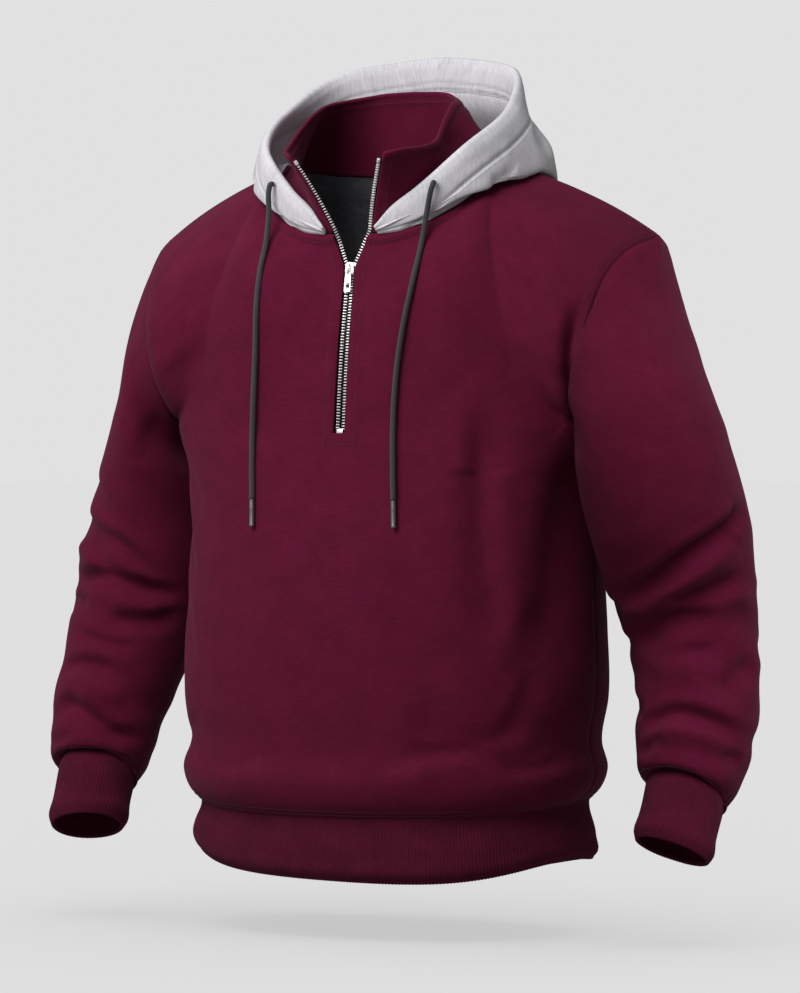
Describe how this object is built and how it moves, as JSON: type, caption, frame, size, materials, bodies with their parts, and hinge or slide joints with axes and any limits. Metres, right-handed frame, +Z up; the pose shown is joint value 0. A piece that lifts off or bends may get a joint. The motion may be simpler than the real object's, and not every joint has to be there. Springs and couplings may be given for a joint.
{
  "type": "half-zip hoodie",
  "caption": "Half-zip pullover hoodie filled out as if worn, with stand collar, lowered drawcord hood, metal front zip, ribbed hem band and ribbed cuffs.",
  "frame": {"origin": "centre of the neck at the height of the two high shoulder points, where a wearer's neck or a hanger carries the garment", "axes": "+X to the wearer's left, -Y out of the chest, +Y out of the back, +Z up along the wearer's neck"},
  "size_m": [0.782, 0.3433, 0.8213],
  "materials": {
    "fleece": "burgundy brushed fleece",
    "rib": "burgundy rib knit",
    "hood": "light heather grey jersey",
    "tape": "woven zip tape",
    "nickel": "bright nickel plate",
    "cord": "charcoal braided cord",
    "gunmetal": "gunmetal"
  },
  "bodies": {
    "garment": {"front_body": "fleece", "back_body": "fleece", "sleeve_left": "fleece", "sleeve_right": "fleece", "cuff_left": "rib", "cuff_right": "rib", "hem_band": "rib", "stand_collar": "fleece", "hood_left": "hood", "hood_right": "hood", "zip_tape_left": "tape", "zip_tape_right": "tape", "zip_chain_left": "nickel", "zip_chain_right": "nickel", "zip_slider": "nickel", "zip_bottom_stop": "nickel", "zip_top_stop_left": "nickel", "zip_top_stop_right": "nickel", "drawcord_left": "cord", "drawcord_right": "cord", "aglet_left": "gunmetal", "aglet_right": "gunmetal"},
    "pull_tab": {"zip_pull": "nickel"}
  },
  "joints": [
    {"name": "pull_tab_hinge", "type": "hinge", "parent": "garment", "child": "pull_tab", "pos_m": [0, -0.10328, -0.11223], "axis": [-1, 0, 0], "range_deg": [0, 165]}
  ]
}
